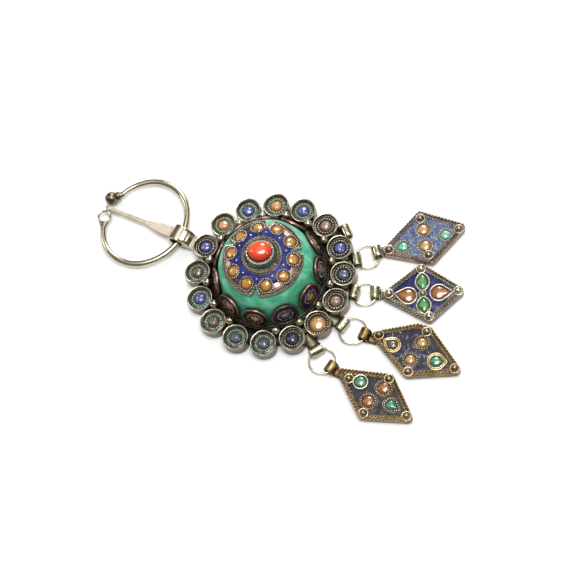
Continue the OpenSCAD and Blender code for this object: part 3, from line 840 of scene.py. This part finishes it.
def make_cap():
    steps = 360
    angles = np.arange(steps)
    edge = np.array([cap_edge(t) for t in angles])
    ray = np.stack([np.cos(np.radians(angles)), np.sin(np.radians(angles))], 1)

    def ring(r, lift):
        r = np.minimum(r, edge)
        return np.column_stack([ray * r[:, None], dome_z(r) + CAP_GAP + lift])

    loops = [ring(np.full(steps, r), 0.0) for r in (5.5, 8, 10)]
    lip = [(0.6, 0), (0.1, 0.05), (0, 0.3), (0, 0.7), (0.12, 0.9), (0.4, CAP_T)]
    loops += [ring(edge - d, lift) for d, lift in lip]
    loops += [ring(np.full(steps, r), CAP_T) for r in (12.4, 11, 9.6, 8.2, 6.8, 5.5)]
    cap = Shape(PINK_SILVER, PINK_WIRE, BLACK_SILVER_AND_SHADE, WIRE, DEEP_GREEN)
    cap.add(rough(loft(loops, closed=True), 0.06, 2.2, 8), 0)
    rim = ring(edge - 0.3, CAP_T + 0.12)
    cap.add(rope(rim, 0.48, 2.2, lobe=0.36), 1)
    inner_rim = ring(edge - 1.1, CAP_T + 0.1)
    cap.add(rope(inner_rim, 0.26, 1.4, hand=-1), 3)
    cell = lathe(
        [(0, -0.5), (DOT_R + 0.55, -0.5), (DOT_R + 0.5, 0.3), (DOT_R + 0.1, 0.3), (DOT_R, 0.05), (0, 0)], 40
    )
    for k in range(DOTS):
        at = dot_place(k)
        cap.add(cell, 2, at)
        cap.add(beads(hoop(DOT_R + 0.36, 48, 0.45), 0.32, 0.82), 3, at)
    # The coral's collet: a rope round its foot, a wall and a row of teeth
    cap.add(rope(hoop(6.75, 80, CAP_TOP + 0.1), 0.5, 2.6), 3)
    for k in range(DOTS):
        x, y = polar(DOT_PHASE + (k + 0.5) * 360 / DOTS, 8.9)
        cap.add(ball((x, y, dome_z(8.9) + CAP_GAP + 1.5), 0.42, 2), 3)
    cap.add(rope(hoop(6.05, 80, CAP_TOP + 0.45), 0.22, 1.2, hand=-1), 3)
    columns = TEETH * 8
    turn = np.arange(columns) * TAU / columns
    tooth = np.abs(((np.arange(columns) / 8) % 1) * 2 - 1)
    wall = []
    for s, lift in ((0, 0), (0.35, 0), (0.7, 0), (0.9, 0.35), (1.0, 1.0)):
        r = COLLET_BASE_R + (COLLET_TOP_R - COLLET_BASE_R) * s - 0.2 * tooth * lift
        r = r * (1 - 0.1 * s * np.sin(turn - math.radians(CORAL_TURN)) ** 2)
        z = CAP_TOP - 0.4 + (COLLET_TOP - CAP_TOP + 0.4) * (s * 0.78 + 0.22 * lift * tooth)
        wall.append(np.column_stack([r * np.cos(turn), r * np.sin(turn), z * np.ones(columns)]))
    inner = []
    for w in wall[::-1]:
        drawn_in = (1 - COLLET_WALL / np.linalg.norm(w[:, :2], axis=1))[:, None]
        inner.append(np.column_stack([w[:, :2] * drawn_in, w[:, 2] - 0.05]))
    # Bare wire along the teeth's outside and top, dark enamel on the rest
    slots = [slot for row in range(2 * len(wall)) for slot in [3 if row in (3, 4) else 4] * columns]
    cap.add(loft(np.array(wall + inner), closed=True), slots)
    seat_r, seat_z = CORAL_R + 0.2, CORAL_Z - 0.1
    cap.add(lathe([(0, CAP_TOP), (seat_r, CAP_TOP), (seat_r, seat_z), (0, seat_z)], 48), 4)
    cap.build("cap_medallion", slot="cap_silver", replaces=["cap"])

    field = Shape(BLUE)
    rows = [(FIELD_IN, 0.98), (FIELD_IN + 0.1, 1.2), (8.2, 1.32), (9.2, 1.34), (10.4, 1.3)]
    rows += [(FIELD_OUT - 0.2, 1.2), (FIELD_OUT, 0.98)]
    field.add(rough(loft([ring(np.full(steps, r), lift) for r, lift in rows], closed=True), 0.1, 1.3, 9), 0)
    field.build("cap_field", slot="blue_enamel", replaces=["cap_enamel"])

    dots = Shape(AMBER)
    for k in range(DOTS):
        dots.add(rough(gem(circle(DOT_R, 36), 0.75, 9), 0.1, 1.3, k + 200), 0, dot_place(k) @ place((0, 0, 0.12)))
    dots.build("cap_ambers", slot="amber_enamel", replaces=["cap_dots"])

    coral = Shape(CORAL)
    oval = turned(circle(CORAL_R - 0.05, 64) * np.array([1.0, 0.87]), CORAL_TURN)
    stone = gem(oval, CORAL_H - 0.1, 16, power=0.85)
    coral.add(rough(stone, 0.12, 4, 11), 0, place((*CORAL_OFF, CORAL_Z)))
    coral.build("coral_cabochon", slot="coral", replaces=["coral"])


def ring_path():
    """Centreline of the clasp ring, from beside the knob round to beside the eye."""
    flank_r = ((RING_HALF_Y - TIP_R) ** 2 + RING_HALF_X**2 - TIP_R**2) / (2 * (RING_HALF_X - TIP_R))
    flank_off, tip_off = flank_r - RING_HALF_X, RING_HALF_Y - TIP_R
    turn = math.degrees(math.atan2(tip_off, flank_off))
    arcs = [
        ((flank_off, 0), flank_r, 167, 180 - turn),
        ((0, tip_off), TIP_R, 180 - turn, turn),
        ((-flank_off, 0), flank_r, turn, -turn),
        ((0, -tip_off), TIP_R, -turn, -180 + turn),
        ((flank_off, 0), flank_r, -180 + turn, -146),
    ]
    out = []
    for mid, r, a0, a1 in arcs:
        out += [np.array(mid) + polar(a, r) for a in np.linspace(a0, a1, 40)[:-1]]
    return resample(out, 200, False)


def make_clasp_ring():
    at = place((RING_MID[0], RING_MID[1], RING_Z), RING_TILT)
    path = ring_path()
    ring = Shape(POLISHED, SILVER)
    radius = np.interp(np.linspace(0, 1, len(path)), *zip(*RING_WIRE))
    outline = circle(1, 20)[None] * radius[:, None, None] * np.array([1.0, 0.94])
    ring.add(rough(sweep(with_z(path), outline), 0.05, 4, 21), 0, at)
    # Neck, collar and knob
    knob = np.array(KNOB_AT)
    first = path[0]
    run = knob - first
    reach = float(np.linalg.norm(run))
    along = place((*first, 0), bearing(run), 90)
    neck = [(0, -0.8), (0.95, -0.8), (1.0, 0.3), (1.15, reach - 3.9), (1.25, reach - 3.3), (1.72, reach - 3.1)]
    neck += [(1.75, reach - 2.5), (1.4, reach - 2.2), (1.3, reach - 1.2), (0, reach - 1.0)]
    ring.add(lathe(neck, 32), 1, at @ along)
    ring.add(faceted_knob(), 1, at @ place((*knob, 0), bearing(run), 90), flat=True)
    # Flattened eye and the fishtail that joins it
    eye = np.array(EYE_AT)
    rows = []
    for k in range(14):
        t = k / 14 * TAU
        rows.append(((EYE_R + EYE_BORE) / 2 + (EYE_R - EYE_BORE) / 2 * math.cos(t), 0.66 * math.sin(t)))
    ring.add(lathe(rows, 56, closed=True), 0, at @ place((*eye, 0)))
    last = path[-1]
    back = last - eye
    span = float(np.linalg.norm(back))
    tail = []
    for x in np.linspace(EYE_BORE + 0.15, span + 1.0, 12):
        f = (x - EYE_BORE) / (span + 1 - EYE_BORE)
        w = 1.7 * (1 - f) ** 1.5 + 1.0 * f ** 0.5
        h = 0.66 * (1 - f) + 1.0 * f
        tail.append([(x, w * math.cos(t), h * math.sin(t)) for t in np.arange(20) * TAU / 20])
    ring.add(loft(tail), 0, at @ place((*eye, 0), bearing(back)))
    ring.build("clasp_ring_wire", body=RING, slot="clasp_silver", replaces=["clasp_ring"])


def faceted_knob():
    """A bead with seven flat sides, along Z."""
    rows = [(0, -2.55), (1.5, -2.2), (2.6, -0.75), (2.6, 0.75), (1.5, 2.2), (0, 2.55)]
    return lathe(rows, 7)


def make_pin():
    pin = Shape(POLISHED, SATIN, BRUSHED)
    low, high = PIN_Z - PIN_T / 2, PIN_Z + PIN_T / 2
    stations = np.array(PIN_ROWS)
    xs = np.linspace(stations[0, 0], stations[-1, 0], 150)
    widths = np.interp(-xs, -stations[:, 0], stations[:, 1])
    tops = np.interp(-xs, [0, 4, 14, 31, 33], [high, high - 0.02, high, PIN_Z + 0.8, PIN_Z + 0.55])
    bottoms = np.interp(-xs, [0, 14, 33], [low, low, PIN_Z - 0.75])
    cols = 24
    loops = []
    for x, w, top, bottom in zip(xs, widths, tops, bottoms):
        ease = min(0.3, w * 0.2)
        v = np.linspace(-1, 1, cols)
        aside = 0.4 * max(0, 1 + x / 14)
        y = v * (w / 2 - ease)
        cut = np.zeros(cols)
        if 4.2 < -x < 14:
            for hand in (1, -1):
                phase = (x + hand * y) / 0.95
                cut += 0.045 * np.exp(-(((phase - np.round(phase)) / 0.16) ** 2)) * (np.abs(v) < 0.93)
        upper = [(x, yy, top - c) for yy, c in zip(y, cut)]
        rim, half, middle = w / 2 - ease * 0.1, w / 2, (top + bottom) / 2
        side_r = [(x, rim, top - ease * 0.6), (x, half, middle), (x, rim, bottom + ease)]
        under = [(x, yy, bottom) for yy in y[::-4]]
        side_l = [(x, -rim, bottom + ease), (x, -half, middle), (x, -rim, top - ease * 0.6)]
        loops.append([(px, py + aside, pz) for px, py, pz in upper + side_r + under + side_l])
    turn = place((BARREL_AT[0], BARREL_AT[1], 0), PIN_TURN)
    blade = rough(loft(loops), 0.03, 1.5, 31)
    # Brushed where the blade is flattened, satin along the shank and at both ends' fans
    across = len(loops[0])
    slots = [2 if x > -13 else 1 for x in xs[:-1] for _ in range(across)]
    slots += [1] * 2 * across
    pin.add(blade, slots, turn)
    # The barrel is the same strip rolled up, with a faint line near each end
    half = BARREL_LEN / 2
    rows = []
    for y in np.linspace(-half, half, 41):
        edge = half - abs(y)
        line = 0.03 * math.exp(-(((edge - 0.7) / 0.14) ** 2))
        rows.append((BARREL_R - 0.02 - line - 0.22 * math.exp(-edge / 0.12), y))
    rows += [(BARREL_BORE, half - 0.06), (BARREL_BORE, -half + 0.06)]
    pin.add(rough(lying_tube(rows, 72, BARREL_AT), 0.07, 3, 33), 0)
    # The strip's end comes off the roll and dips to the plate behind the first cup
    foot = []
    for x in [*np.linspace(1.0, 2.64, 8), *np.linspace(2.66, 5.19, 24), 5.3, 6.0, 6.84]:
        top = BARREL_AT[2] + 3.28 * math.sqrt(max(0, 1 - ((x - 0.9) / 4.45) ** 2)) if x < 5.2 else 3.3
        low = BARREL_AT[2] + math.sqrt(max(0, 2.66**2 - x**2)) if x < 2.65 else 0
        w = 6.1 - 0.17 * x
        ease = min(0.25, (top - low) * 0.3)
        foot.append([
            (x, -w / 2, low + ease), (x, -w / 2 + 0.1, low), (x, w / 2 - 0.1, low), (x, w / 2, low + ease),
            (x, w / 2, top - ease), (x, w / 2 - 0.15, top - ease * 0.2), (x, w / 4, top), (x, 0, top),
            (x, -w / 4, top), (x, -w / 2 + 0.15, top - ease * 0.2), (x, -w / 2, top - ease),
        ])
    pin.add(rough(loft(foot), 0.05, 2.5, 34), 0, place((BARREL_AT[0], BARREL_AT[1], 0)))
    pin.build("pin_and_barrel", slot="silver", replaces=["pin"])


def link_points(i):
    """Middle of the pendant's bail, and the jump ring's middle and radius."""
    span, span_a, lie_a = LIES[i]
    bail_a, bail_d, _ = BAILS[i]
    bail = polar(bail_a, bail_d)
    bend = (lie_a - bail_a) / 2
    reach = span / (2 * math.cos(math.radians(bend)))
    return bail + polar(span_a, span), bail + polar(span_a - bend, reach), reach + JUMP_PLAY


def make_jump_rings():
    for i in range(4):
        _, mid, r = link_points(i)
        ring = Shape(POLISHED)
        gap = 3.0
        split = 250 + 40 * i
        turn = np.linspace(split + gap / 2, split + 360 - gap / 2, 120)
        path = np.array([[*(mid + polar(a, r)), JUMP_Z] for a in turn])
        ring.add(rough(sweep(path, circle(JUMP_WIRE - 0.01, 12)), 0.02, 2.0, 40 + i), 0)
        ring.build(f"jump_ring_wire_{i + 1}", slot="clasp_silver", replaces=[f"jump_ring_{i + 1}"])


# Pendants' stones: place, outline, turn, glass, and the kind of wire round it
PLAIN, BEADED, TWISTED = "plain", "beaded", "twisted"
PENDANT_STONES = [
    [
        ((18.0, 3.0), drop(2.3, 0), 0, HONEY_GLASS, BEADED),
        ((17.0, -3.3), drop(2.3, 0), 0, HONEY_GLASS, BEADED),
        ((9.4, -1.2), drop(2.0, 3.2), 180, MINT_GLASS, BEADED),
        ((25.0, -1.4), drop(2.0, 3.2), 0, MINT_GLASS, BEADED),
    ],
    [
        ((11.8, -1.6), drop(2.75, 5.0), 170, BROWN_GLASS, PLAIN),
        ((22.6, -0.6), drop(2.75, 5.0), 2, BROWN_GLASS, PLAIN),
        ((16.9, 0.3), leaf(6.6, 4.3), 92, LEAF_GLASS, PLAIN),
        ((17.1, -2.2), leaf(6.2, 4.4), -84, LEAF_GLASS, PLAIN),
    ],
    [
        ((11.0, 0.1), drop(1.8, 3.2), 170, OLIVE_GLASS, TWISTED),
        ((20.2, 4.7), drop(2.0, 0), 0, HONEY_GLASS, BEADED),
        ((18.9, -2.6), drop(2.0, 0), 0, HONEY_GLASS, BEADED),
        ((27.4, 0.2), drop(2.1, 3.2), 20, GREEN_GLASS, TWISTED),
    ],
    [
        ((12.0, 0.9), drop(2.2, 0), 0, GREEN_GLASS, PLAIN),
        ((20.2, 3.4), drop(2.3, 0), 0, BROWN_GLASS, BEADED),
        ((18.4, -3.5), drop(2.3, 0), 0, BROWN_GLASS, BEADED),
        ((25.6, -0.4), drop(1.9, 3.4), 0, GREEN_GLASS, BEADED),
    ],
]
PENDANT_LOOKS = [
    (PINK_SILVER, PINK_WIRE, SPECKLED),
    (SILVER, WIRE, NIGHT),
    (BRONZE, BRONZE_WIRE, PATCHY),
    (BRONZE, BRONZE_WIRE, WORN),
]


def make_pendant(i):
    bail_mid, _, _ = link_points(i)
    at = place((bail_mid[0], bail_mid[1], 0), LIES[i][2])
    corners = CORNERS[i]
    plate_look, rope_look, field_look = PENDANT_LOOKS[i]

    def loop(r, z, count=160):
        return with_z(resample(rounded(corners, r), count, True), z)

    body = Shape(plate_look, POLISHED, BRIGHT if i == 1 else SILVER, rope_look, WIRE)
    inside = resample(rounded(corners, 0.25), 160, True)
    mid = inside.mean(0)
    floor = [with_z(mid + (inside - mid) * share, PENDANT_FLOOR) for share in (1.0, 0.6, 0.2)]
    wall = [(-0.2, 0), (0, 0.2), (0, 1.0), (-0.04, 1.5), (0, 2.2), (-0.15, PENDANT_H)]
    rows = [loop(CORNER_R + out, z) for out, z in wall] + [loop(0.35, PENDANT_H), *floor]
    body.add(rough(loft(rows), 0.05, 3, 50 + i), 0, at)
    body.add(rope(loop(CORNER_R - 0.48, PENDANT_H + 0.1, 400), 0.62, 2.5, lobe=0.42), 3, at)
    body.add(rope(loop(CORNER_R - 1.42, PENDANT_H + 0.12, 400), 0.5, 2.3, hand=-1, lobe=0.4), 3, at)
    for c in GRANULES[i]:
        body.add(rough(ball((*c, GRANULE_TOP_Z), CORNER_GRANULE_R, 3), 0.04, 1.2, 60 + i), 2, at)
        collar = with_z(circle(CORNER_GRANULE_R + 0.15, 32) + np.array(c), GRANULE_TOP_Z - 0.1)
        body.add(wire(collar, 0.22), 4 if i == 1 else 3, at)
    body.add(rough(rolled_bail(PENDANT_BAIL_LEN), 0.05, 2.0, 70 + i), 1 if i < 2 else 0, at)
    body.add(strap(BAIL_BORE, float(np.linalg.norm(corners[0])) + 0.5, 4.0, 3.2, PLATE_T), 0, at)
    stones = Shape(*sorted({s[3] for s in PENDANT_STONES[i]}, key=lambda m: m.name))
    for k, (where, outline, angle, look, kind) in enumerate(PENDANT_STONES[i]):
        outline = turned(outline, angle, where)
        setting = grown(outline, 0.32)
        track = with_z(setting, PENDANT_FLOOR + 0.62)
        if kind == PLAIN:
            body.add(wire(track, 0.26), 4, at)
            body.add(wire(with_z(setting, PENDANT_FLOOR + 0.25), 0.26), 4, at)
        elif kind == BEADED:
            body.add(beads(track, 0.34, 0.9), 4, at)
            body.add(rope(with_z(grown(outline, 0.85), PENDANT_FLOOR + 0.35), 0.2, 1.2), 3, at)
        else:
            for by in (0.3, 0.3 + 0.62):
                body.add(wire(with_z(grown(outline, by), PENDANT_FLOOR + 0.5), 0.22), 3, at)
        stone = rough(gem(outline, 0.95, 10), 0.06, 1.3, 80 + 4 * i + k)
        stones.add(stone, stones.materials.index(look), at @ place((0, 0, PENDANT_FLOOR + 0.1)))
    if i == 1:
        centre = (16.95, -0.9, PENDANT_FLOOR + 0.85)
        body.add(ball(centre, 1.0, 3), 2, at)
        body.add(wire(with_z(circle(1.3, 28) + np.array(centre[:2]), PENDANT_FLOOR + 0.7), 0.24, sides=6), 2, at)
    slot = "pendant_bronze" if i > 1 else "pendant_silver"
    body.build(f"pendant_plate_{i + 1}", slot=slot, replaces=[f"pendant_{i + 1}"])
    stones.build(f"pendant_glass_{i + 1}", slot="amber_glass", replaces=[f"pendant_{i + 1}_stones"])
    field = Shape(field_look)
    bed = gem(resample(rounded(corners, 0.22), 120, True), 0.3, 14, foot=0.1)
    field.add(rough(bed, 0.16, 1.5, 90 + i, z_only=True), 0, at @ place((0, 0, PENDANT_FLOOR + 0.08)))
    field.build(f"pendant_field_{i + 1}", slot="dark_blue_enamel", replaces=[f"pendant_{i + 1}_enamel"])


# Stage

def make_floor():
    mesh = bpy.data.meshes.new("floor")
    half = 3.0
    mesh.from_pydata([(-half, -half, 0), (half, -half, 0), (half, half, 0), (-half, half, 0)], [], [(0, 1, 2, 3)])
    floor = bpy.data.objects.new("floor", mesh)
    floor.location = (0, 0, -0.0002)
    show(floor)
    look = Look("pale_floor")
    grain = look.ramp(look.noise(60.0, 3.0), (0.3, (0.86, 0.86, 0.86)), (0.7, (0.9, 0.9, 0.9)))
    mesh.materials.append(look.put(Base_Color=grain, Roughness=0.85))


def make_light(name, at, size, power):
    """A round lamp turned to the brooch."""
    lamp = bpy.data.lights.new(name, "AREA")
    lamp.shape = "DISK"
    lamp.size = size
    lamp.energy = power
    obj = bpy.data.objects.new(name, lamp)
    obj.location = at
    obj.rotation_mode = "QUATERNION"
    obj.rotation_quaternion = (Vector((0, 0, 0.01)) - Vector(at)).to_track_quat("-Z", "Y")
    show(obj)


def make_sky_light():
    """A wide even light that keeps the floor pale out to the horizon."""
    lamp = bpy.data.lights.new("sky", "SUN")
    lamp.energy = 0.55
    lamp.angle = math.radians(50)
    obj = bpy.data.objects.new("sky", lamp)
    obj.rotation_euler = (math.radians(-12), 0, 0)
    show(obj)


def make_world():
    world = bpy.data.worlds.new("studio")
    bpy.context.scene.world = world
    world.use_nodes = True
    nodes, links = world.node_tree.nodes, world.node_tree.links
    back = nodes["Background"]
    where = nodes.new("ShaderNodeTexCoord")
    split = nodes.new("ShaderNodeSeparateXYZ")
    ramp = nodes.new("ShaderNodeValToRGB")
    ramp.color_ramp.elements[0].position = 0.05
    ramp.color_ramp.elements[0].color = (0.06, 0.057, 0.05, 1)
    ramp.color_ramp.elements[1].position = 0.75
    ramp.color_ramp.elements[1].color = (0.3, 0.3, 0.3, 1)
    links.new(where.outputs["Generated"], split.inputs[0])
    links.new(split.outputs["Z"], ramp.inputs["Fac"])
    links.new(ramp.outputs["Color"], back.inputs["Color"])
    back.inputs["Strength"].default_value = 1.0


def make_camera():
    """The photograph's view: azimuth, elevation, roll, the middle's offset and the distance."""
    azimuth, elevation, roll = 49.6, 66.0, -24.2
    offset_x, offset_y, distance = -6.59, 4.47, 544.39
    picture, focal_px, sensor = 580, 1500, 36
    a, e, t = (math.radians(v) for v in (azimuth, elevation, roll))
    back = Vector((math.sin(a) * math.cos(e), -math.cos(a) * math.cos(e), math.sin(e)))
    level = Vector((math.cos(a), math.sin(a), 0))
    upright = back.cross(level)
    right = level * math.cos(t) + upright * math.sin(t)
    top = upright * math.cos(t) - level * math.sin(t)
    at = (back * distance - right * offset_x - top * offset_y) * MM
    data = bpy.data.cameras.new("camera")
    data.sensor_width = sensor
    data.lens = focal_px * sensor / picture
    data.clip_start, data.clip_end = 0.01, 20
    camera = bpy.data.objects.new("camera", data)
    camera.matrix_world = Matrix.Translation(at) @ Matrix((right, top, back)).transposed().to_4x4()
    show(camera)
    bpy.context.scene.camera = camera


make_camera()
make_world()
make_floor()
make_light("overhead", (0.1, 0.02, 0.75), 0.4, 4.2)
make_sky_light()
make_light("far", (-0.2, 0.6, 0.45), 0.3, 3.0)
make_light("left", (-0.55, -0.1, 0.35), 0.2, 0.6)
make_light("right", (0.5, 0.1, 0.4), 0.2, 0.5)

make_cups()
make_plaque()
make_skirt()
make_dome()
make_cap()
make_clasp_ring()
make_pin()
make_jump_rings()
for pendant in range(4):
    make_pendant(pendant)

bpy.context.scene.view_settings.view_transform = "Standard"
bpy.context.view_layer.update()
